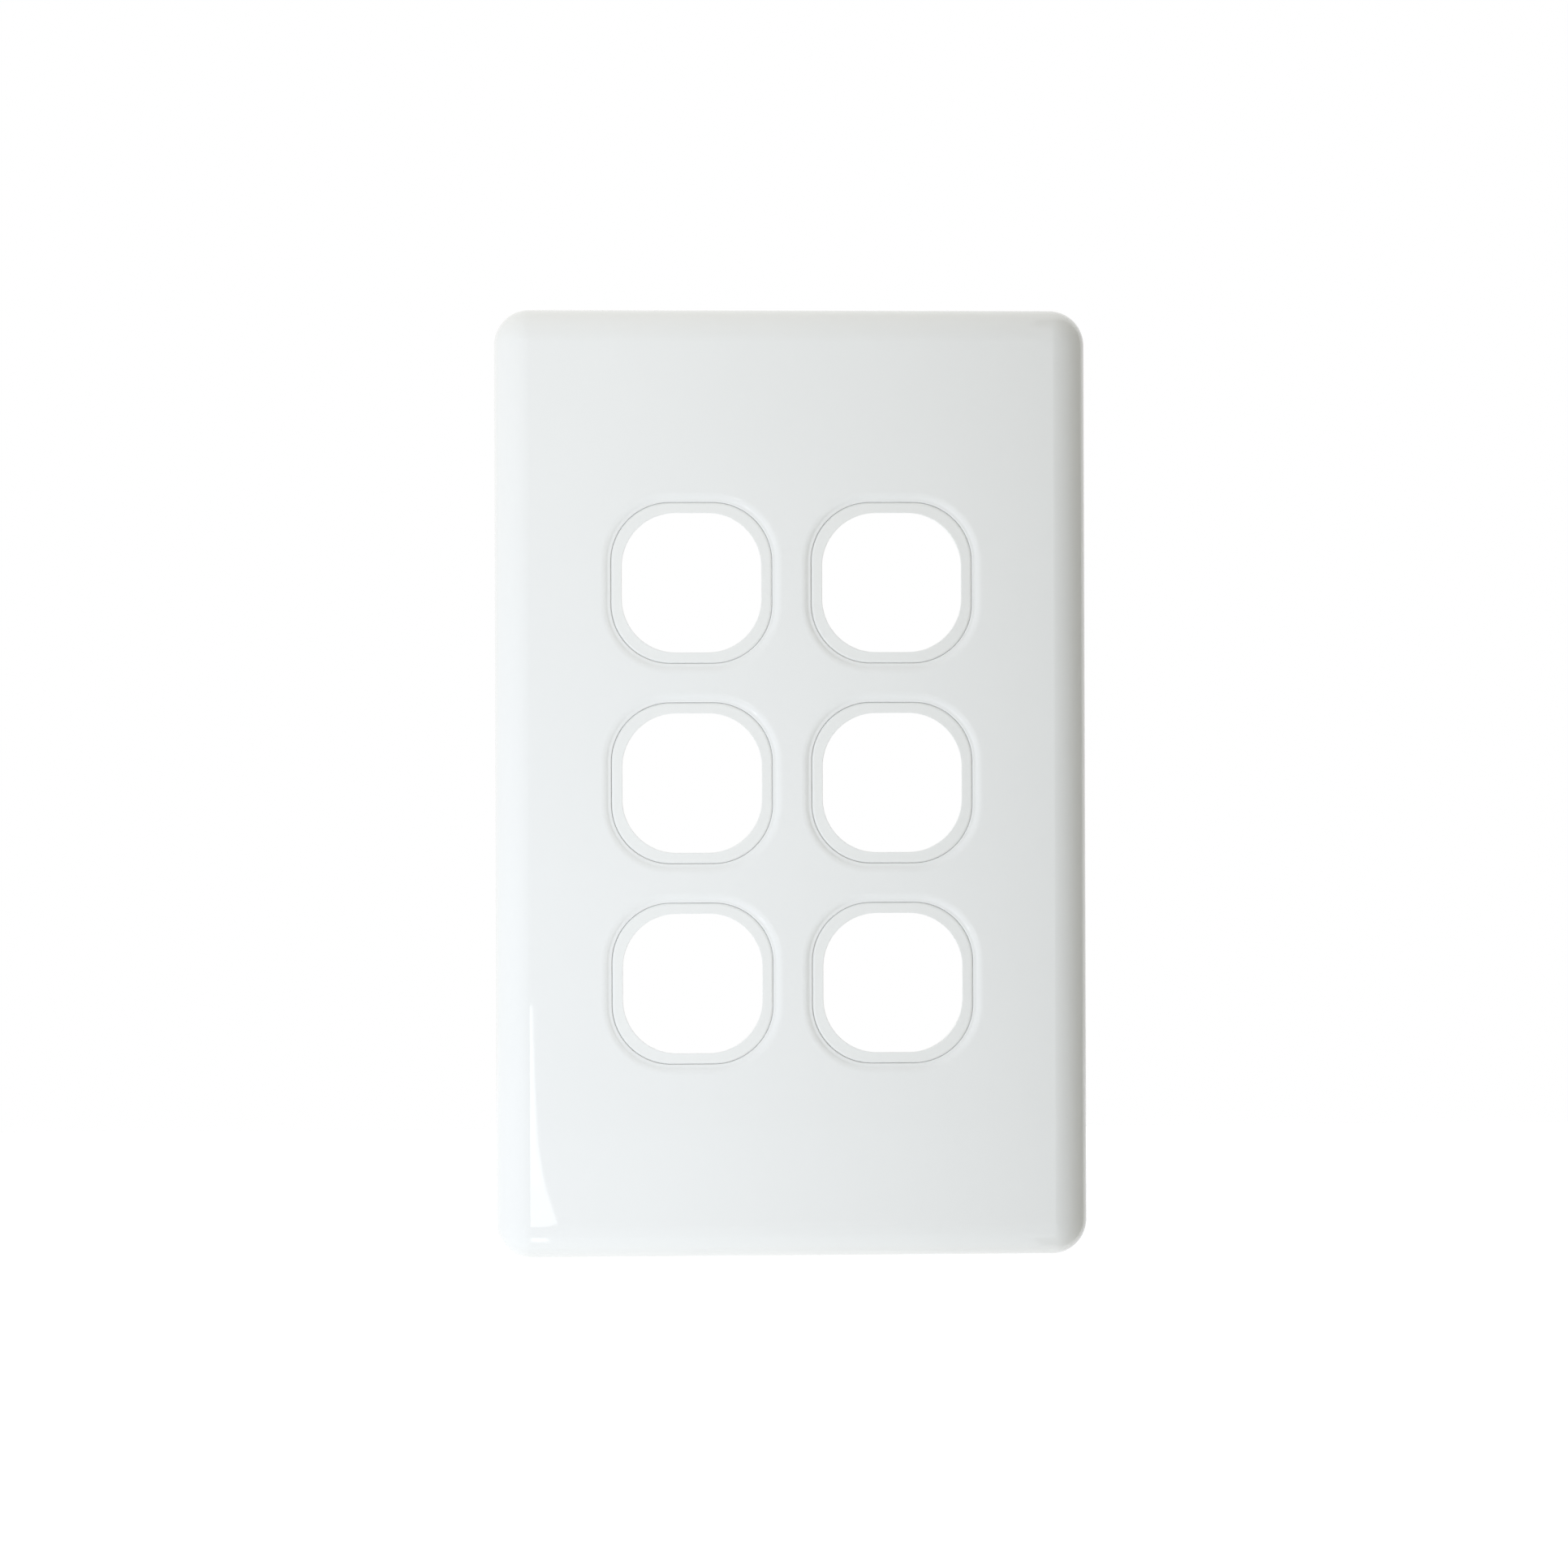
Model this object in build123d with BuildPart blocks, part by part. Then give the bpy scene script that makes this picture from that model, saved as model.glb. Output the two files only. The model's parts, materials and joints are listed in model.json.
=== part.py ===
from build123d import *
import os
from math import atan, degrees, radians, sin, tan

# Six-gang switch plate: a rolled-edge cover that pushes onto a grid plate screwed to the wall.
# Sizes are in millimetres. X runs across the plate and Z up its length. The wall is the plane Y = 0 and the
# front faces -Y, so heights above the wall are measured along -Y.

# Whole plate
plate_width = 72.5
plate_height = 116.0
plate_depth = 9.0

# Cover shell
edge_round = 4.3
face_corner_radius = 0.1
cover_wall = 1.8
cover_foot = 0.3
side_draft = 1.0

# Switch openings, in columns and rows: the hole in the grid plate, its collar and the cover's dished lip
columns = 2
rows = 3
hole_size = 16.9
hole_radius = 6.5
hole_draft = 5.0
collar_wall = 1.25
collar_radius = 7.15
collar_edge_round = 0.25
collar_gap = 0.08
collar_below_lip = 0.03
lip_width = 1.25
lip_depth = 0.29
opening_land = 2.24
rim_wall = 1.1
rim_clearance = 0.3

# Push-fit pegs of the cover and their sockets in the grid plate
peg_rows = 4
peg_end_inset = 7.7
peg_radius = 1.5
peg_tip_height = 2.6
peg_tip_chamfer = 0.4
peg_clearance = 0.05
socket_wall = 1.5
socket_below_tip = 0.6

# Slot in the cover's lower rim for a screwdriver
pry_width = 9.0
pry_height = 1.1

# Grid plate
grid_gap = 0.4
skirt_wall = 1.6
web_thickness = 1.8
web_clearance = 1.0
rib_thickness = 1.2
rib_wall_gap = 0.8

# Screws into a wall box
screw_spacing = 84.0
screw_hole_radius = 2.2
screw_head_radius = 4.0
screw_head_depth = 2.4
screw_boss_wall = 1.5

# Snap fingers that hold a switch from behind, one each side of its hole
seat_width = 1.55
finger_thickness = 1.2
finger_width = 7.0
finger_wall_gap = 0.6
hook_reach = 0.6
hook_ramp = 0.7
hook_land = 0.5

# Heights above the wall
ceiling_height = plate_depth - cover_wall
web_top = ceiling_height - web_clearance
web_bottom = web_top - web_thickness
collar_top = plate_depth - lip_depth - collar_below_lip
rim_bottom = web_top + rim_clearance
socket_bottom = peg_tip_height - socket_below_tip

# Outlines, from the outside in. The cover's sides lean in, which makes its corners rounder at the foot
side_lean = (plate_depth - cover_foot) * tan(radians(side_draft))
corner_radius = edge_round + face_corner_radius + side_lean
cavity_width = plate_width - 2 * cover_wall
cavity_height = plate_height - 2 * cover_wall
cavity_radius = corner_radius - cover_wall
cavity_round = edge_round - cover_wall
grid_width = cavity_width - 2 * grid_gap
grid_height = cavity_height - 2 * grid_gap
grid_radius = cavity_radius - grid_gap
grid_round = cavity_round - grid_gap
well_width = grid_width - 2 * skirt_wall
well_height = grid_height - 2 * skirt_wall
well_radius = grid_radius - skirt_wall

# Switch openings, from the hole out to the lip, and their spacing. The hole widens towards the back
hole_spread = (collar_top - web_bottom) * tan(radians(hole_draft))
hole_back_size = hole_size + 2 * hole_spread
hole_back_radius = hole_radius + hole_spread
collar_size = hole_size + 2 * collar_wall
opening_size = collar_size + 2 * collar_gap
opening_radius = collar_radius + collar_gap
rim_size = opening_size + 2 * rim_wall
rim_radius = opening_radius + rim_wall
lip_size = opening_size + 2 * lip_width
lip_radius = opening_radius + lip_width
opening_pitch = lip_size + opening_land
column_places = [opening_pitch * (i - (columns - 1) / 2) for i in range(columns)]
row_places = [opening_pitch * (i - (rows - 1) / 2) for i in range(rows)]

# Fixings: the pegs stand midway between the outer ribs and the skirt
outer_rib_face = (columns * opening_pitch + rib_thickness) / 2
peg_spacing_x = outer_rib_face + well_width / 2
peg_spacing_z = (well_height - 2 * peg_end_inset) / (peg_rows - 1)
socket_bore = peg_radius + peg_clearance
socket_radius = socket_bore + socket_wall
screw_boss_radius = screw_head_radius + screw_boss_wall

# A snap finger's section right of its hole, as places across the plate and depths from the wall
finger_inside = hole_size / 2 + seat_width
finger_outside = finger_inside + finger_thickness
hook_inside = finger_inside - hook_reach
hook_peak = finger_wall_gap + hook_ramp
hook_catch = hook_peak + hook_land
finger_section = [
    (finger_inside, -web_bottom),
    (finger_outside, -web_bottom),
    (finger_outside, -finger_wall_gap),
    (finger_inside, -finger_wall_gap),
    (hook_inside, -hook_peak),
    (hook_inside, -hook_catch),
    (finger_inside, -hook_catch),
]

wall = Plane.XZ
front = wall.offset(plate_depth)
openings = GridLocations(opening_pitch, opening_pitch, columns, rows)
pegs = GridLocations(peg_spacing_x, peg_spacing_z, 2, peg_rows)

# The lip's profile is a convex shoulder that turns over into a cove of the same radius, level again where it
# meets the opening
lip_turn = 2 * atan(lip_depth / lip_width)
lip_bend = lip_width / sin(lip_turn) / 2
lip_overcut = lip_width / 2

with BuildPart() as lip_ring:
    with BuildSketch(front, mode=Mode.PRIVATE) as lip_outline:
        RectangleRounded(lip_size, lip_size, lip_radius)
    lip_path = lip_outline.sketch.face().outer_wire()
    lip_along = lip_path % 0
    lip_inward = front.z_dir.cross(lip_along)
    with BuildSketch(Plane(origin=lip_path @ 0, x_dir=lip_inward, z_dir=lip_along)):
        with BuildLine():
            shoulder = JernArc((0, 0), (1, 0), lip_bend, -degrees(lip_turn))
            cove = JernArc(shoulder @ 1, shoulder % 1, lip_bend, degrees(lip_turn))
            Polyline(
                cove @ 1,
                (lip_width + lip_overcut, -lip_depth),
                (lip_width + lip_overcut, lip_overcut),
                (0, lip_overcut),
                (0, 0),
            )
        make_face()
    sweep(path=lip_path)

with BuildPart() as cover_cavity:
    with BuildSketch(wall.offset(cover_foot)):
        RectangleRounded(cavity_width, cavity_height, cavity_radius)
    extrude(amount=ceiling_height - cover_foot, taper=side_draft)
    fillet(cover_cavity.faces().sort_by(Axis.Y)[0].edges(), cavity_round)

with BuildPart() as cover_pegs:
    with BuildSketch(wall.offset(peg_tip_height)):
        with pegs:
            Circle(peg_radius)
    extrude(amount=ceiling_height - peg_tip_height)
    chamfer(cover_pegs.faces().filter_by(Axis.Y).group_by(Axis.Y)[-1].edges(), peg_tip_chamfer)

with BuildPart() as cover:
    with BuildSketch(wall.offset(cover_foot)):
        RectangleRounded(plate_width, plate_height, corner_radius)
    extrude(amount=plate_depth - cover_foot, taper=side_draft)
    fillet(cover.faces().sort_by(Axis.Y)[0].edges(), edge_round)
    add(cover_cavity.part, mode=Mode.SUBTRACT)
    add(cover_pegs.part)
    # A rim backs each opening, and the opening and its lip are cut through both
    with BuildSketch(wall.offset(rim_bottom)):
        with openings:
            RectangleRounded(rim_size, rim_size, rim_radius)
    extrude(amount=ceiling_height - rim_bottom)
    with BuildSketch(wall.offset(rim_bottom)):
        with openings:
            RectangleRounded(opening_size, opening_size, opening_radius)
    extrude(amount=plate_depth - rim_bottom, mode=Mode.SUBTRACT)
    with Locations([(x, 0, z) for x in column_places for z in row_places]):
        add(lip_ring.part, mode=Mode.SUBTRACT)
    with BuildSketch(wall.offset(cover_foot)):
        with Locations((0, -(plate_height - cover_wall) / 2)):
            Rectangle(pry_width, 2 * cover_wall)
    extrude(amount=pry_height, mode=Mode.SUBTRACT)
cover.part.label = "cover"

with BuildPart() as grid_plate:
    # Web and skirt: a shallow tray with its rim on the wall
    with BuildSketch(wall):
        RectangleRounded(grid_width, grid_height, grid_radius)
    extrude(amount=web_top)
    fillet(grid_plate.faces().sort_by(Axis.Y)[0].edges(), grid_round)
    with BuildSketch(wall):
        RectangleRounded(well_width, well_height, well_radius)
    extrude(amount=web_bottom, mode=Mode.SUBTRACT)
    # Ribs between the openings, from skirt to skirt
    with BuildSketch(wall.offset(rib_wall_gap)):
        with GridLocations(opening_pitch, 0, columns + 1, 1):
            Rectangle(rib_thickness, grid_height - skirt_wall)
        with GridLocations(0, opening_pitch, 1, rows + 1):
            Rectangle(grid_width - skirt_wall, rib_thickness)
    extrude(amount=web_bottom - rib_wall_gap)
    # Screw bosses down to the wall
    with BuildSketch(wall):
        with GridLocations(0, screw_spacing, 1, 2):
            Circle(screw_boss_radius)
    extrude(amount=web_bottom)
    with Locations(wall.offset(web_top)):
        with GridLocations(0, screw_spacing, 1, 2):
            CounterBoreHole(screw_hole_radius, screw_head_radius, screw_head_depth)
    # Sockets that the cover rests on
    with BuildSketch(wall.offset(socket_bottom)):
        with pegs:
            Circle(socket_radius)
    extrude(amount=ceiling_height - socket_bottom)
    with BuildSketch(wall.offset(socket_bottom)):
        with pegs:
            Circle(socket_bore)
    extrude(amount=ceiling_height - socket_bottom, mode=Mode.SUBTRACT)
    # Collars, the rings seen inside the cover's openings
    with BuildSketch(wall.offset(web_bottom)):
        with openings:
            RectangleRounded(collar_size, collar_size, collar_radius)
    extrude(amount=collar_top - web_bottom)
    with BuildSketch(wall.offset(web_bottom)):
        with openings:
            RectangleRounded(hole_back_size, hole_back_size, hole_back_radius)
    extrude(amount=collar_top - web_bottom, taper=hole_draft, mode=Mode.SUBTRACT)
    collar_fronts = grid_plate.faces().filter_by(Axis.Y).group_by(Axis.Y)[0]
    fillet(collar_fronts.edges(), collar_edge_round)
    # Snap fingers, drawn in section across each row
    for row in row_places:
        with BuildSketch(Plane.XY.offset(row)):
            with Locations([(column, 0) for column in column_places]):
                Polygon(finger_section, align=None)
            mirror(about=Plane.YZ)
        extrude(amount=finger_width / 2, both=True)
grid_plate.part.label = "grid_plate"

os.makedirs("parts", exist_ok=True)
export_step(cover.part, "parts/cover.step")
export_step(grid_plate.part, "parts/grid_plate.step")
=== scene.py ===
import json
from math import atan, atan2, cos, pi, radians, sin, tan

import bmesh
import bpy
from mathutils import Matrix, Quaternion, Vector


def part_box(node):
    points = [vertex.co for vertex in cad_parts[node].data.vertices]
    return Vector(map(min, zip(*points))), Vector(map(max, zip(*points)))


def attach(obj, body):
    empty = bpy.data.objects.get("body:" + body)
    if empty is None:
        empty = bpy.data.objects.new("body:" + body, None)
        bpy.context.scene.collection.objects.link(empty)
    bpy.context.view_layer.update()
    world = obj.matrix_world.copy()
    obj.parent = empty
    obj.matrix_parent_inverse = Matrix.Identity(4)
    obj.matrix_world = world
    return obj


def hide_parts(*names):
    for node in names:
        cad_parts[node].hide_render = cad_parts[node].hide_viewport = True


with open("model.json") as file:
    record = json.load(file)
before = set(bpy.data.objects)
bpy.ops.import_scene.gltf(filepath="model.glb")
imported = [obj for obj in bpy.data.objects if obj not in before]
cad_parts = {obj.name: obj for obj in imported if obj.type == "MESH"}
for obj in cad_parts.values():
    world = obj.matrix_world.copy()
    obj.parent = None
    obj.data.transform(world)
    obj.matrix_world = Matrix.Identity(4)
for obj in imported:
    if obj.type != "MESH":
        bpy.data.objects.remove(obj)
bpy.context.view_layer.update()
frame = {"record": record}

# Sizes are in metres. Both mouldings are modelled lying on their backs, with X across the plate, Y up its
# length and Z the height above the wall, and are then stood up against the wall.
mm = 0.001

# Sizes that the frame gives
cover_low, cover_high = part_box("cover")
grid_low, grid_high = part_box("grid_plate")
mounts = {mount["name"]: mount for mount in frame["record"]["mounts"]}
seats = [mount for name, mount in mounts.items() if name.startswith("switch_seat")]
screws = mounts["wall_screws"]["dims"]
cover_width = cover_high.x - cover_low.x
cover_length = cover_high.z - cover_low.z
face_height = -cover_low.y
cover_foot = -cover_high.y
grid_width = grid_high.x - grid_low.x
grid_length = grid_high.z - grid_low.z
collar_height = -grid_low.y
web_back = -seats[0]["pos_m"][1]
seat_places = [(seat["pos_m"][0], seat["pos_m"][2]) for seat in seats]
seat_pitch = 2 * max(x for x, y in seat_places)
screw_places = [(0.0, -screws["spacing_y_mm"] / 2 * mm), (0.0, screws["spacing_y_mm"] / 2 * mm)]
screw_hole_radius = screws["hole_r_mm"] * mm

# Cover
cover_corner = 4.42 * mm
edge_round = 4.62 * mm
side_draft = radians(1.0)
face_crease = radians(4.0)
cover_wall = 1.8 * mm
hollow_round = 2.4 * mm
ceiling_height = face_height - cover_wall
pry_width = 9.0 * mm
pry_height = 1.1 * mm
pry_corner = 0.3 * mm

# Openings: the grid plate's hole and collar, then the cover's opening, dished lip and rim
hole_size = 16.9 * mm
hole_corner = 6.5 * mm
hole_edge = 0.08 * mm
hole_draft = radians(5.0)
collar_wall = 1.31 * mm
collar_corner = 7.17 * mm
collar_edge = 0.3 * mm
collar_gap = 0.025 * mm
lip_width = 1.25 * mm
lip_depth = 0.29 * mm
lip_shoulder = 0.7
lip_edge = 0.18 * mm
seam_turn = radians(70)
rim_wall = 1.1 * mm
rim_clearance = 0.3 * mm
collar_size = hole_size + 2 * collar_wall
opening_size = collar_size + 2 * collar_gap
opening_corner = collar_corner + collar_gap

# Grid plate, with the rows of its cross ribs in pitches of the openings
web_thickness = 1.8 * mm
web_front = web_back + web_thickness
rim_height = web_front + rim_clearance
grid_corner = 2.3 * mm
grid_round = 2.1 * mm
skirt_wall = 1.6 * mm
rib_thickness = 1.2 * mm
rib_foot = 0.8 * mm
rib_rows = (-1.5, -0.5, 0.5, 1.5)
boss_radius = 5.5 * mm
screw_head_radius = 4.0 * mm
screw_head_depth = 2.4 * mm

# Pegs of the cover and their sockets in the grid plate
peg_radius = 1.5 * mm
peg_tip = 2.6 * mm
peg_chamfer = 0.4 * mm
socket_bore = 1.55 * mm
socket_radius = 3.05 * mm
socket_foot = 2.0 * mm
peg_x = 28.675 * mm
peg_rows = [-46.5 * mm, -15.5 * mm, 15.5 * mm, 46.5 * mm]
peg_places = [(x, y) for x in (-peg_x, peg_x) for y in peg_rows]

# Snap fingers, measured from the middle of their hole
finger_inside = 10.0 * mm
finger_thickness = 1.2 * mm
finger_width = 7.0 * mm
finger_foot = 0.6 * mm
hook_reach = 0.6 * mm
hook_peak = 1.3 * mm
hook_catch = 1.8 * mm

# Edges of the mouldings: tiny rounds, and a narrow flat strip where a round meets a flat face. Ribs and
# fingers are sunk a little into the web that they stand on
mould_edge = 0.15 * mm
flat_strip = 0.03 * mm
bar_edge = 0.2 * mm
bar_steps = 3
bar_sunk = 0.4 * mm
corner_steps = 24
round_steps = 20
edge_steps = 5
circle_steps = 48
quarter_turn = pi / 2
smooth_angle = radians(35)
same_place = 0.005 * mm


# Modelling steps

def pick(piece):
    """Make a piece the only one that is selected."""
    bpy.ops.object.select_all(action="DESELECT")
    bpy.context.view_layer.objects.active = piece
    piece.select_set(True)


def new_moulding(name):
    """An empty piece, open for modelling."""
    bpy.ops.object.select_all(action="DESELECT")
    bpy.ops.mesh.primitive_plane_add()
    piece = bpy.context.object
    piece.name = name
    bpy.ops.object.mode_set(mode="EDIT")
    bpy.ops.mesh.select_mode(type="FACE")
    bpy.ops.mesh.delete(type="VERT")
    return piece


def hide_rest():
    """Hide what is modelled so far, so that the next shape is shaped alone."""
    bpy.ops.mesh.select_all(action="SELECT")
    bpy.ops.mesh.hide(unselected=False)


def rounded_outline(width, length, corner, height, place=(0.0, 0.0)):
    """A flat rounded rectangle, selected, and all else hidden."""
    hide_rest()
    bpy.ops.mesh.primitive_plane_add(size=1.0, location=(*place, height))
    bpy.ops.transform.resize(value=(width, length, 1.0))
    bpy.ops.mesh.bevel(affect="VERTICES", offset=corner, segments=corner_steps)


def round_outline(radius, height, place):
    """A flat disc, selected, and all else hidden."""
    hide_rest()
    bpy.ops.mesh.primitive_circle_add(
        vertices=circle_steps, radius=radius, fill_type="NGON", location=(*place, height))


def follow(profile):
    """Draw the selected face in and up along a profile of insets and heights."""
    for (inset, height), (next_inset, next_height) in zip(profile, profile[1:]):
        bpy.ops.mesh.inset(thickness=next_inset - inset, depth=next_height - height)


def open_end():
    """Take away the face at the end of a profile."""
    bpy.ops.mesh.delete(type="ONLY_FACE")


def copy_along(places):
    """Copy what is shown from the first place to each of the others."""
    bpy.ops.mesh.select_all(action="SELECT")
    for here, there in zip(places, places[1:]):
        step = (there[0] - here[0], there[1] - here[1], 0.0)
        bpy.ops.mesh.duplicate_move(TRANSFORM_OT_translate={"value": step})


def select_faces(piece, wanted):
    """Select the faces whose middle passes a test."""
    bpy.ops.mesh.select_all(action="DESELECT")
    mesh = bmesh.from_edit_mesh(piece.data)
    for face in mesh.faces:
        face.select_set(wanted(face.calc_center_median()))
    bmesh.update_edit_mesh(piece.data)


def select_edges(piece, wanted):
    """Select the edges that pass a test."""
    bpy.ops.mesh.select_mode(type="EDGE")
    bpy.ops.mesh.select_all(action="DESELECT")
    mesh = bmesh.from_edit_mesh(piece.data)
    for edge in mesh.edges:
        edge.select_set(wanted(edge))
    bmesh.update_edit_mesh(piece.data)


def fill_level(piece, height):
    """Fill the flat between all the open edges at a height."""
    def open_there(edge):
        return edge.is_boundary and all(abs(v.co.z - height) < same_place for v in edge.verts)

    select_edges(piece, open_there)
    bpy.ops.mesh.fill()
    bpy.ops.mesh.select_mode(type="FACE")


def join_walls():
    """Show everything and join walls that end on the same edge."""
    bpy.ops.mesh.reveal(select=True)
    bpy.ops.mesh.select_all(action="SELECT")
    bpy.ops.mesh.remove_doubles(threshold=same_place)


def close_moulding():
    """Turn all faces outwards and end the modelling."""
    bpy.ops.mesh.select_all(action="SELECT")
    bpy.ops.mesh.normals_make_consistent(inside=False)
    bpy.ops.object.mode_set(mode="OBJECT")


def combine(piece, tool, operation):
    """Add a second solid to a moulding, or cut it out."""
    boolean = piece.modifiers.new(operation.lower(), "BOOLEAN")
    boolean.operation = operation
    boolean.object = tool
    boolean.solver = "EXACT"
    pick(piece)
    bpy.ops.object.modifier_apply(modifier=boolean.name)
    bpy.data.objects.remove(tool)


def stand_up(piece):
    """Turn a finished moulding from its back up against the wall."""
    pick(piece)
    bpy.ops.object.shade_smooth_by_angle(angle=smooth_angle)
    piece.rotation_euler = (radians(90), 0.0, 0.0)
    bpy.ops.object.transform_apply(location=False, rotation=True, scale=False)


# Profiles, as insets from an outline and heights above the wall

def edge_arc(turn):
    """Sine and cosine in even steps from 0 to a small edge's full turn."""
    turns = [turn * i / edge_steps for i in range(edge_steps + 1)]
    return [(sin(a), cos(a)) for a in turns]


def rounded_wall(foot, top, radius, draft=0.0, crease=0.0):
    """A wall that leans in and rolls over, and meets the flat top at the crease's angle."""
    reach = radius * cos(draft) + (top - radius + radius * sin(draft) - foot) * tan(draft)
    sweep = quarter_turn - draft - crease
    turns = [crease + sweep * (1 - i / round_steps) for i in range(round_steps + 1)]
    roll = [(reach - radius * sin(a), top - radius * (cos(crease) - cos(a))) for a in turns]
    return [(0.0, foot + mould_edge)] + roll + [(roll[-1][0] + flat_strip, top)]


def foot_ring(wall, foot):
    """The underside of a wall, with both its edges rounded."""
    arc = edge_arc(quarter_turn)
    outer = [(mould_edge * (1 - c), foot + mould_edge * (1 - s)) for s, c in arc]
    inner = [(wall - mould_edge * (1 - s), foot + mould_edge * (1 - c)) for s, c in arc]
    return outer + inner


def dished_lip():
    """From the flat face down a shallow S to the opening, over its edge and down its wall."""
    floor = face_height - lip_depth
    width = lip_width - lip_edge * sin(seam_turn)
    turn = 2 * atan(lip_depth / width)
    bend = lip_shoulder * width / sin(turn)
    hollow = (1 - lip_shoulder) * width / sin(turn)
    turns = [turn * i / round_steps for i in range(round_steps + 1)]
    shoulder = [(bend * sin(a), face_height - bend * (1 - cos(a))) for a in turns]
    cove = [(width - hollow * sin(a), floor + hollow * (1 - cos(a))) for a in reversed(turns)]
    edge = [(width + lip_edge * s, floor - lip_edge * (1 - c)) for s, c in edge_arc(seam_turn)]
    end = (lip_width, rim_height + mould_edge)
    return [(-flat_strip, face_height)] + shoulder + cove[1:] + edge[1:] + [end]


def collar_outside():
    """From the web up a collar's outer wall and over its edge."""
    reach = collar_edge * sin(seam_turn)
    arc = reversed(edge_arc(seam_turn))
    edge = [(reach - collar_edge * s, collar_height - collar_edge * (1 - c)) for s, c in arc]
    return [(0.0, web_front)] + edge + [(reach + flat_strip, collar_height)]


def collar_inside():
    """From a collar's ring over its inner edge and down through the web."""
    edge = [(hole_edge * s, collar_height - hole_edge * (1 - c)) for s, c in edge_arc(quarter_turn)]
    return [(-flat_strip, collar_height)] + edge + [(hole_edge, web_back)]


def socket_front():
    """Up a socket's wall in front of the web, over its rim and down its bore."""
    rim = socket_radius - socket_bore
    return [
        (0.0, web_front),
        (0.0, ceiling_height - mould_edge),
        (mould_edge, ceiling_height),
        (rim - mould_edge, ceiling_height),
        (rim, ceiling_height - mould_edge),
        (rim, socket_foot),
    ]


def socket_back():
    """Down a socket's wall behind the web and in to its bore."""
    rim = socket_radius - socket_bore
    return [(0.0, web_back), (0.0, socket_foot + mould_edge), (mould_edge, socket_foot), (rim, socket_foot)]


def counterbore():
    """Down the seat of a screw's head and on through the screw's hole."""
    seat = web_front - screw_head_depth
    ledge = screw_head_radius - screw_hole_radius
    return [(0.0, web_front), (0.0, seat), (ledge, seat), (ledge, 0.0)]


def boss():
    """Down a screw boss to the wall and in to the screw's hole."""
    return [(0.0, web_back), (0.0, mould_edge), (mould_edge, 0.0), (boss_radius - screw_hole_radius, 0.0)]


# Cover

def model_pry_cutter():
    """A rounded block where a screwdriver goes in under the lower edge."""
    bpy.ops.object.select_all(action="DESELECT")
    bpy.ops.mesh.primitive_cube_add(size=1.0, location=(0.0, (cover_wall - cover_length) / 2, cover_foot))
    cutter = bpy.context.object
    bpy.ops.object.mode_set(mode="EDIT")
    bpy.ops.transform.resize(value=(pry_width, 2 * cover_wall, 2 * pry_height))
    bpy.ops.mesh.bevel(affect="EDGES", offset=pry_corner, segments=edge_steps)
    bpy.ops.object.mode_set(mode="OBJECT")
    return cutter


def model_cover():
    cover = new_moulding("cover_moulding")
    # Drafted outer wall and rolled edge
    rounded_outline(cover_width, cover_length, cover_corner, cover_foot + mould_edge)
    follow(rounded_wall(cover_foot, face_height, edge_round, side_draft, face_crease))
    open_end()
    # Underside of the wall, then the hollow behind the face
    rounded_outline(cover_width, cover_length, cover_corner, cover_foot + mould_edge)
    follow(foot_ring(cover_wall, cover_foot))
    follow(rounded_wall(cover_foot, ceiling_height, hollow_round, side_draft))
    open_end()
    # The lip of one opening, then the rim behind it, each copied to all six places
    lip_size = opening_size + 2 * (lip_width + flat_strip)
    lip_corner = opening_corner + lip_width + flat_strip
    rounded_outline(lip_size, lip_size, lip_corner, face_height, seat_places[0])
    follow(dished_lip())
    open_end()
    copy_along(seat_places)
    rim_size = opening_size + 2 * rim_wall
    rim_corner = opening_corner + rim_wall
    rounded_outline(rim_size, rim_size, rim_corner, ceiling_height, seat_places[0])
    follow([(0.0, ceiling_height)] + foot_ring(rim_wall, rim_height))
    open_end()
    copy_along(seat_places)
    # Pegs
    round_outline(peg_radius, ceiling_height, peg_places[0])
    follow([(0.0, ceiling_height), (0.0, peg_tip + peg_chamfer), (peg_chamfer, peg_tip)])
    copy_along(peg_places)
    # Front face and the ceiling behind it
    join_walls()
    fill_level(cover, face_height)
    fill_level(cover, ceiling_height)
    close_moulding()
    combine(cover, model_pry_cutter(), "DIFFERENCE")
    stand_up(cover)
    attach(cover, "cover")
    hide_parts("cover")
    return cover


# Grid plate

def add_bar(width, length, place, foot):
    """A square bar from its foot up into the web."""
    top = web_back + bar_sunk
    bpy.ops.mesh.primitive_cube_add(size=1.0, location=(*place, (foot + top) / 2))
    bpy.ops.transform.resize(value=(width, length, top - foot))


def finish_bars():
    """Round the edges of all the bars."""
    bpy.ops.mesh.select_all(action="SELECT")
    bpy.ops.mesh.bevel(affect="EDGES", offset=bar_edge, segments=bar_steps)
    bpy.ops.object.mode_set(mode="OBJECT")


def model_upright_ribs():
    """Ribs up the plate's length. The middle one stops at the screw bosses."""
    ribs = new_moulding("upright_ribs")
    reach = (grid_length - skirt_wall) / 2
    boss_middle = screw_places[1][1]
    boss_wall = (boss_radius + screw_head_radius) / 2
    end_length = reach - boss_middle - boss_wall
    end_middle = (reach + boss_middle + boss_wall) / 2
    for side in (-1, 1):
        add_bar(rib_thickness, 2 * reach, (side * seat_pitch, 0.0), rib_foot)
        add_bar(rib_thickness, end_length, (0.0, side * end_middle), rib_foot)
    add_bar(rib_thickness, 2 * (boss_middle - boss_wall), (0.0, 0.0), rib_foot)
    finish_bars()
    return ribs


def model_cross_ribs():
    """Ribs across the plate, above and below every row of openings."""
    ribs = new_moulding("cross_ribs")
    for row in rib_rows:
        add_bar(grid_width - skirt_wall, rib_thickness, (0.0, row * seat_pitch), rib_foot)
    finish_bars()
    return ribs


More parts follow.
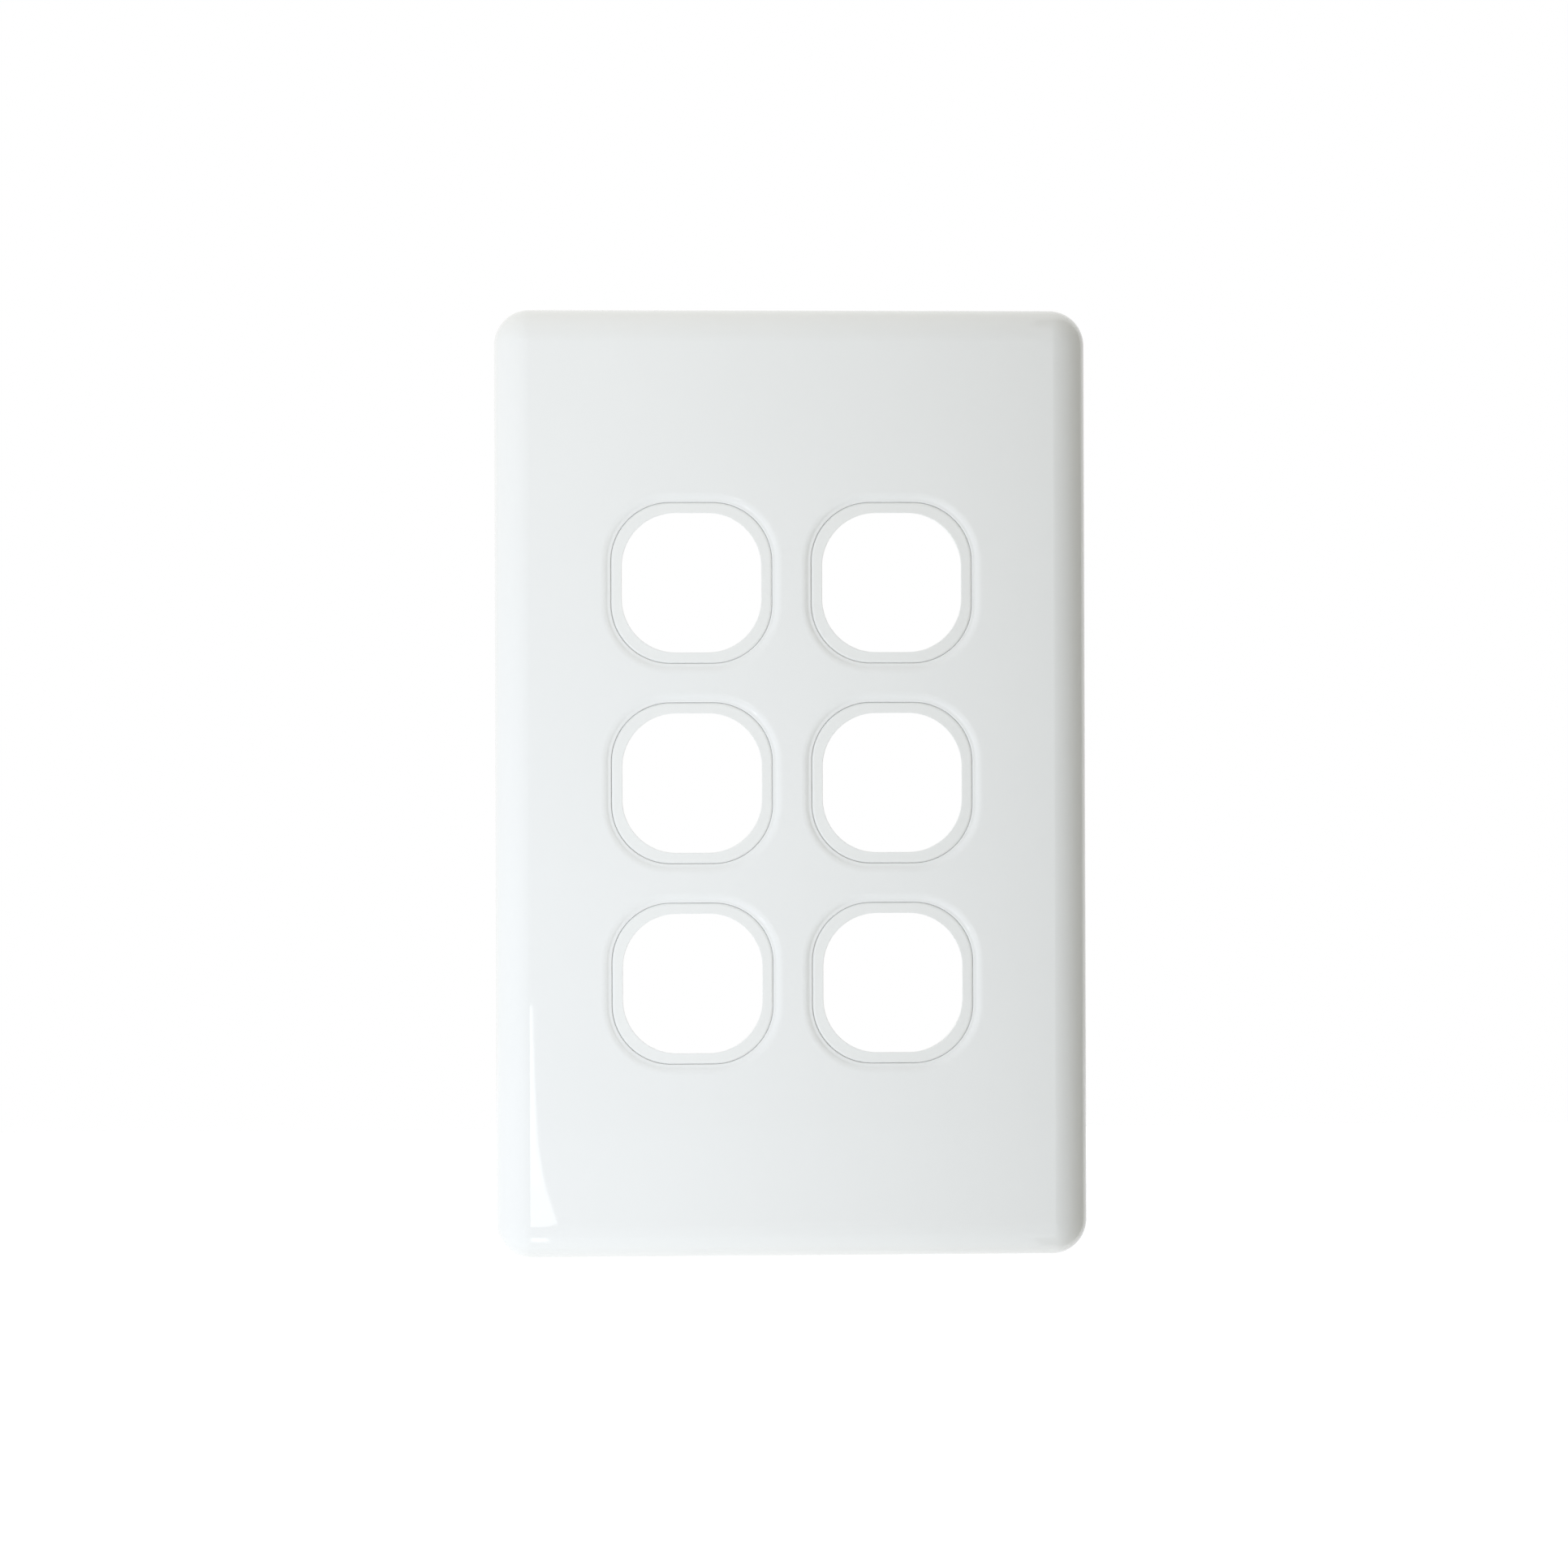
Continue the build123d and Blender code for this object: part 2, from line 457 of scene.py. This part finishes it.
def model_fingers():
    """One snap finger right of the first hole, its hook pointing in, then a pair at every hole."""
    fingers = new_moulding("snap_fingers")
    middle_x, middle_y = seat_places[0]
    inside = middle_x + finger_inside
    add_bar(finger_thickness, finger_width, (inside + finger_thickness / 2, middle_y), finger_foot)
    for height in (hook_peak, hook_catch):
        bpy.ops.mesh.select_all(action="SELECT")
        bpy.ops.mesh.bisect(plane_co=(0.0, 0.0, height), plane_no=(0.0, 0.0, 1.0))
    select_faces(fingers, lambda middle: middle.x < inside + same_place and middle.z < hook_catch)
    bpy.ops.mesh.extrude_region_move(TRANSFORM_OT_translate={"value": (-hook_reach, 0.0, 0.0)})

    # The hook's foot goes back to the finger, which leaves a ramp
    def at_hook_foot(edge):
        return all(v.co.x < inside - same_place and v.co.z < finger_foot + same_place for v in edge.verts)

    select_edges(fingers, at_hook_foot)
    bpy.ops.transform.translate(value=(hook_reach, 0.0, 0.0))
    bpy.ops.mesh.select_mode(type="FACE")
    bpy.ops.mesh.select_all(action="SELECT")
    bpy.ops.mesh.remove_doubles(threshold=same_place)
    bpy.ops.mesh.duplicate()
    bpy.ops.transform.rotate(value=pi, orient_axis="Z", center_override=(middle_x, middle_y, 0.0))
    copy_along(seat_places)
    close_moulding()
    return fingers


def model_grid_plate():
    grid = new_moulding("grid_moulding")
    # Skirt and web
    rounded_outline(grid_width, grid_length, grid_corner, mould_edge)
    follow(rounded_wall(0.0, web_front, grid_round))
    open_end()
    rounded_outline(grid_width, grid_length, grid_corner, mould_edge)
    follow(foot_ring(skirt_wall, 0.0) + [(skirt_wall, web_back)])
    open_end()
    # Collars, with holes that widen towards the back
    rounded_outline(collar_size, collar_size, collar_corner, web_front, seat_places[0])
    follow(collar_outside())
    open_end()
    copy_along(seat_places)
    ring_size = hole_size + 2 * (hole_edge + flat_strip)
    ring_corner = hole_corner + hole_edge + flat_strip
    rounded_outline(ring_size, ring_size, ring_corner, collar_height, seat_places[0])
    follow(collar_inside())
    wider = 1 + 2 * (collar_height - web_back) * tan(hole_draft) / hole_size
    bpy.ops.transform.resize(value=(wider, wider, 1.0), center_override=(*seat_places[0], web_back))
    open_end()
    copy_along(seat_places)
    # Sockets, in front of the web and behind it
    round_outline(socket_radius, web_front, peg_places[0])
    follow(socket_front())
    open_end()
    copy_along(peg_places)
    round_outline(socket_radius, web_back, peg_places[0])
    follow(socket_back())
    open_end()
    copy_along(peg_places)
    # Counterbores in front of the web and the screw bosses behind it
    round_outline(screw_head_radius, web_front, screw_places[0])
    follow(counterbore())
    open_end()
    copy_along(screw_places)
    round_outline(boss_radius, web_back, screw_places[0])
    follow(boss())
    open_end()
    copy_along(screw_places)
    # The collars' rings and both sides of the web
    join_walls()
    fill_level(grid, collar_height)
    fill_level(grid, web_front)
    fill_level(grid, web_back)
    close_moulding()
    combine(grid, model_upright_ribs(), "UNION")
    combine(grid, model_cross_ribs(), "UNION")
    combine(grid, model_fingers(), "UNION")
    stand_up(grid)
    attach(grid, "grid")
    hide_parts("grid_plate")
    return grid


# Finishes, with noise scales in features to the metre

cloud_scale = 30.0
ripple_scale = 60.0
polish_scale = 160.0
grain_scale = 1500.0
ripple_height = 0.003 * mm
noise_low = 0.3
noise_high = 0.7
plastic_ior = 1.5


def new_material(name):
    material = bpy.data.materials.new(name)
    material.use_nodes = True
    tree = material.node_tree
    shader = tree.nodes["Principled BSDF"]
    return material, tree, shader


def noise(tree, place, scale, detail):
    texture = tree.nodes.new("ShaderNodeTexNoise")
    texture.inputs["Scale"].default_value = scale
    texture.inputs["Detail"].default_value = detail
    tree.links.new(place.outputs["Object"], texture.inputs["Vector"])
    return texture


def moulded_plastic(name, deep, pale, roughness, grain):
    """White moulding: faint cloudiness, uneven polish, a long flow ripple and a fine grain."""
    material, tree, shader = new_material(name)
    place = tree.nodes.new("ShaderNodeTexCoord")
    cloud = noise(tree, place, cloud_scale, detail=3.0)
    tint = tree.nodes.new("ShaderNodeValToRGB")
    tint.color_ramp.elements[0].position = noise_low
    tint.color_ramp.elements[0].color = deep
    tint.color_ramp.elements[1].position = noise_high
    tint.color_ramp.elements[1].color = pale
    tree.links.new(cloud.outputs["Fac"], tint.inputs["Fac"])
    tree.links.new(tint.outputs["Color"], shader.inputs["Base Color"])
    polish = noise(tree, place, polish_scale, detail=4.0)
    uneven = tree.nodes.new("ShaderNodeMapRange")
    uneven.inputs["From Min"].default_value = noise_low
    uneven.inputs["From Max"].default_value = noise_high
    uneven.inputs["To Min"].default_value = roughness[0]
    uneven.inputs["To Max"].default_value = roughness[1]
    tree.links.new(polish.outputs["Fac"], uneven.inputs["Value"])
    tree.links.new(uneven.outputs["Result"], shader.inputs["Roughness"])
    ripple = noise(tree, place, ripple_scale, detail=1.0)
    flow = tree.nodes.new("ShaderNodeBump")
    flow.inputs["Distance"].default_value = ripple_height
    tree.links.new(ripple.outputs["Fac"], flow.inputs["Height"])
    grains = noise(tree, place, grain_scale, detail=2.0)
    skin = tree.nodes.new("ShaderNodeBump")
    skin.inputs["Distance"].default_value = grain
    tree.links.new(grains.outputs["Fac"], skin.inputs["Height"])
    tree.links.new(flow.outputs["Normal"], skin.inputs["Normal"])
    tree.links.new(skin.outputs["Normal"], shader.inputs["Normal"])
    shader.inputs["IOR"].default_value = plastic_ior
    return material


# Studio, with the distance of the strip lamps from the face and their width

strip_distance = 0.3
strip_width = 0.008


def seen_rays(tree):
    """1 for what the camera sees, directly, mirrored or through glass, and 0 for plain light."""
    rays = tree.nodes.new("ShaderNodeLightPath")
    direct = tree.nodes.new("ShaderNodeMath")
    direct.operation = "MAXIMUM"
    tree.links.new(rays.outputs["Is Camera Ray"], direct.inputs[0])
    tree.links.new(rays.outputs["Is Glossy Ray"], direct.inputs[1])
    seen = tree.nodes.new("ShaderNodeMath")
    seen.operation = "MAXIMUM"
    tree.links.new(direct.outputs["Value"], seen.inputs[0])
    tree.links.new(rays.outputs["Is Transmission Ray"], seen.inputs[1])
    return seen.outputs["Value"]


def studio_world(colour, dim_way, dimmest, full):
    """Soft light all round, dimmer one way. It is plain white to the eye and in mirrorings."""
    world = bpy.data.worlds.new("studio")
    world.use_nodes = True
    tree = world.node_tree
    place = tree.nodes.new("ShaderNodeTexCoord")
    nearness = tree.nodes.new("ShaderNodeVectorMath")
    nearness.operation = "DOT_PRODUCT"
    nearness.inputs[1].default_value = dim_way
    tree.links.new(place.outputs["Generated"], nearness.inputs[0])
    level = tree.nodes.new("ShaderNodeMapRange")
    level.inputs["To Min"].default_value = full
    level.inputs["To Max"].default_value = dimmest
    tree.links.new(nearness.outputs["Value"], level.inputs["Value"])
    soft = tree.nodes["Background"]
    soft.inputs["Color"].default_value = colour
    tree.links.new(level.outputs["Result"], soft.inputs["Strength"])
    white = tree.nodes.new("ShaderNodeBackground")
    white.inputs["Color"].default_value = (1.0, 1.0, 1.0, 1.0)
    mix = tree.nodes.new("ShaderNodeMixShader")
    tree.links.new(seen_rays(tree), mix.inputs["Fac"])
    tree.links.new(soft.outputs["Background"], mix.inputs[1])
    tree.links.new(white.outputs["Background"], mix.inputs[2])
    tree.links.new(mix.outputs["Shader"], tree.nodes["World Output"].inputs["Surface"])
    bpy.context.scene.world = world


def stage_plane(name, place, turn, size, colour, seen_colour):
    """A sheet of matt card, with one colour for the light that it throws and one for the eye."""
    bpy.ops.object.select_all(action="DESELECT")
    bpy.ops.mesh.primitive_plane_add(size=1.0, location=place, rotation=turn)
    plane = bpy.context.object
    plane.name = name
    plane.scale = (*size, 1.0)
    material, tree, shader = new_material(name)
    matt = tree.nodes.new("ShaderNodeBsdfDiffuse")
    matt.inputs["Color"].default_value = colour
    shown = tree.nodes.new("ShaderNodeBsdfDiffuse")
    shown.inputs["Color"].default_value = seen_colour
    mix = tree.nodes.new("ShaderNodeMixShader")
    tree.links.new(seen_rays(tree), mix.inputs["Fac"])
    tree.links.new(matt.outputs["BSDF"], mix.inputs[1])
    tree.links.new(shown.outputs["BSDF"], mix.inputs[2])
    tree.links.new(mix.outputs["Shader"], tree.nodes["Material Output"].inputs["Surface"])
    tree.nodes.remove(shader)
    plane.data.materials.append(material)
    return plane


def soft_box(name, place, aim, size, glow, colour=(1.0, 1.0, 1.0), roll=0.0):
    """A flat lamp of an even glow, where white paper in the studio light has a glow of 1."""
    lamp = bpy.data.lights.new(name, "AREA")
    lamp.shape = "RECTANGLE"
    lamp.size, lamp.size_y = size
    lamp.energy = glow * pi * size[0] * size[1]
    lamp.color = colour
    box = bpy.data.objects.new(name, lamp)
    box.location = place
    turn = (Vector(aim) - Vector(place)).to_track_quat("-Z", "Y") @ Quaternion((0.0, 0.0, 1.0), roll)
    box.rotation_euler = turn.to_euler()
    box.visible_camera = False
    bpy.context.scene.collection.objects.link(box)
    return box


def in_front(x, z):
    """The place where a strip lamp has to be for a spot on the face to mirror it to the camera."""
    eye = Vector((camera.location.x, -2 * face_height - camera.location.y, camera.location.z))
    spot = Vector((x, -face_height, z))
    return spot + (spot - eye) * strip_distance / (face_height + eye.y)


def strip_lamp(name, upper, lower, glow):
    """A narrow lamp in front, whose right side is mirrored along a line between two spots of the face."""
    top = in_front(*upper)
    foot = in_front(*lower)
    lean = atan2(top.x - foot.x, top.z - foot.z)
    middle = (top + foot) / 2 - Vector((cos(lean), 0.0, -sin(lean))) * strip_width / 2
    size = (strip_width, (top - foot).length)
    soft_box(name, middle, middle + Vector((0.0, 1.0, 0.0)), size, glow, roll=-lean)


# Both mouldings in their finish
cover = model_cover()
grid = model_grid_plate()
cover_finish = moulded_plastic(
    "polished_white_plastic", deep=(0.86, 0.87, 0.868, 1.0), pale=(0.872, 0.882, 0.88, 1.0),
    roughness=(0.015, 0.03), grain=0.0001 * mm)
grid_finish = moulded_plastic(
    "satin_white_plastic", deep=(0.863, 0.872, 0.864, 1.0), pale=(0.875, 0.884, 0.876, 1.0),
    roughness=(0.29, 0.37), grain=0.002 * mm)
for piece, finish in ((cover, cover_finish), (grid, grid_finish)):
    piece.data.materials.clear()
    piece.data.materials.append(finish)

# Camera, almost straight in front of the plate
camera_data = bpy.data.cameras.new("camera")
camera_data.lens = 75.727
camera_data.sensor_width = 36.0
camera = bpy.data.objects.new("camera", camera_data)
camera.location = (-0.01509, -0.408715, -0.00115)
camera.rotation_euler = (radians(90.145), radians(0.185), radians(-2.016))
bpy.context.scene.collection.objects.link(camera)
bpy.context.scene.camera = camera
bpy.context.scene.view_settings.view_transform = "Standard"

# Soft light all round, dimmest from the front and left, over a pale floor
warm_white = (1.0, 0.995, 0.962, 1.0)
front_left = (-0.3, -0.954, 0.0)
studio_world(warm_white, dim_way=front_left, dimmest=0.665, full=1.06)
stage_plane(
    "floor", place=(0.0, 0.0, -0.45), turn=(0.0, 0.0, 0.0), size=(8.0, 8.0),
    colour=(0.98, 0.98, 0.98, 1.0), seen_colour=(1.15, 1.16, 1.22, 1.0))

# A grey card close to the right edge darkens it
card_grey = (0.42, 0.41, 0.38, 1.0)
card = stage_plane(
    "grey_card", place=(0.048, -0.034, 0.0), turn=(0.0, radians(90), 0.0), size=(0.4, 0.072),
    colour=card_grey, seen_colour=card_grey)
card.visible_camera = False

# A cool lamp low on the left, and faint panels above and below
plate_middle = (0.0, 0.0, 0.0)
low_lamp = soft_box(
    "low_left_lamp", place=(-0.13, -0.18, -0.05), aim=plate_middle, size=(0.10, 0.10), glow=3.3,
    colour=(0.68, 0.80, 1.0))
low_lamp.visible_glossy = False
soft_box("top_panel", place=(0.0, -0.15, 0.45), aim=plate_middle, size=(0.5, 0.3), glow=0.18)
soft_box(
    "low_panel", place=(0.0, -0.12, -0.40), aim=plate_middle, size=(0.5, 0.3), glow=0.27,
    colour=(0.68, 0.86, 1.0))

# Small lamps for the glints along the lower left edge of the face, in its bottom edge and on the lips
strip_lamp("long_strip", upper=(-0.03155, -0.0268), lower=(-0.03100, -0.0437), glow=3.6)
strip_lamp("middle_strip", upper=(-0.03103, -0.0433), lower=(-0.03020, -0.0485), glow=3.4)
strip_lamp("short_strip", upper=(-0.03025, -0.0482), lower=(-0.02862, -0.0532), glow=2.8)
bottom_edge = (-0.0478, -0.0075, -0.0555)
soft_box("edge_glint", place=(-0.0478, -0.187, -0.333), aim=bottom_edge, size=(0.005, 0.085), glow=2.6)
soft_box("lip_glint", place=(-0.125, -0.16, -0.135), aim=plate_middle, size=(0.02, 0.02), glow=4.2)
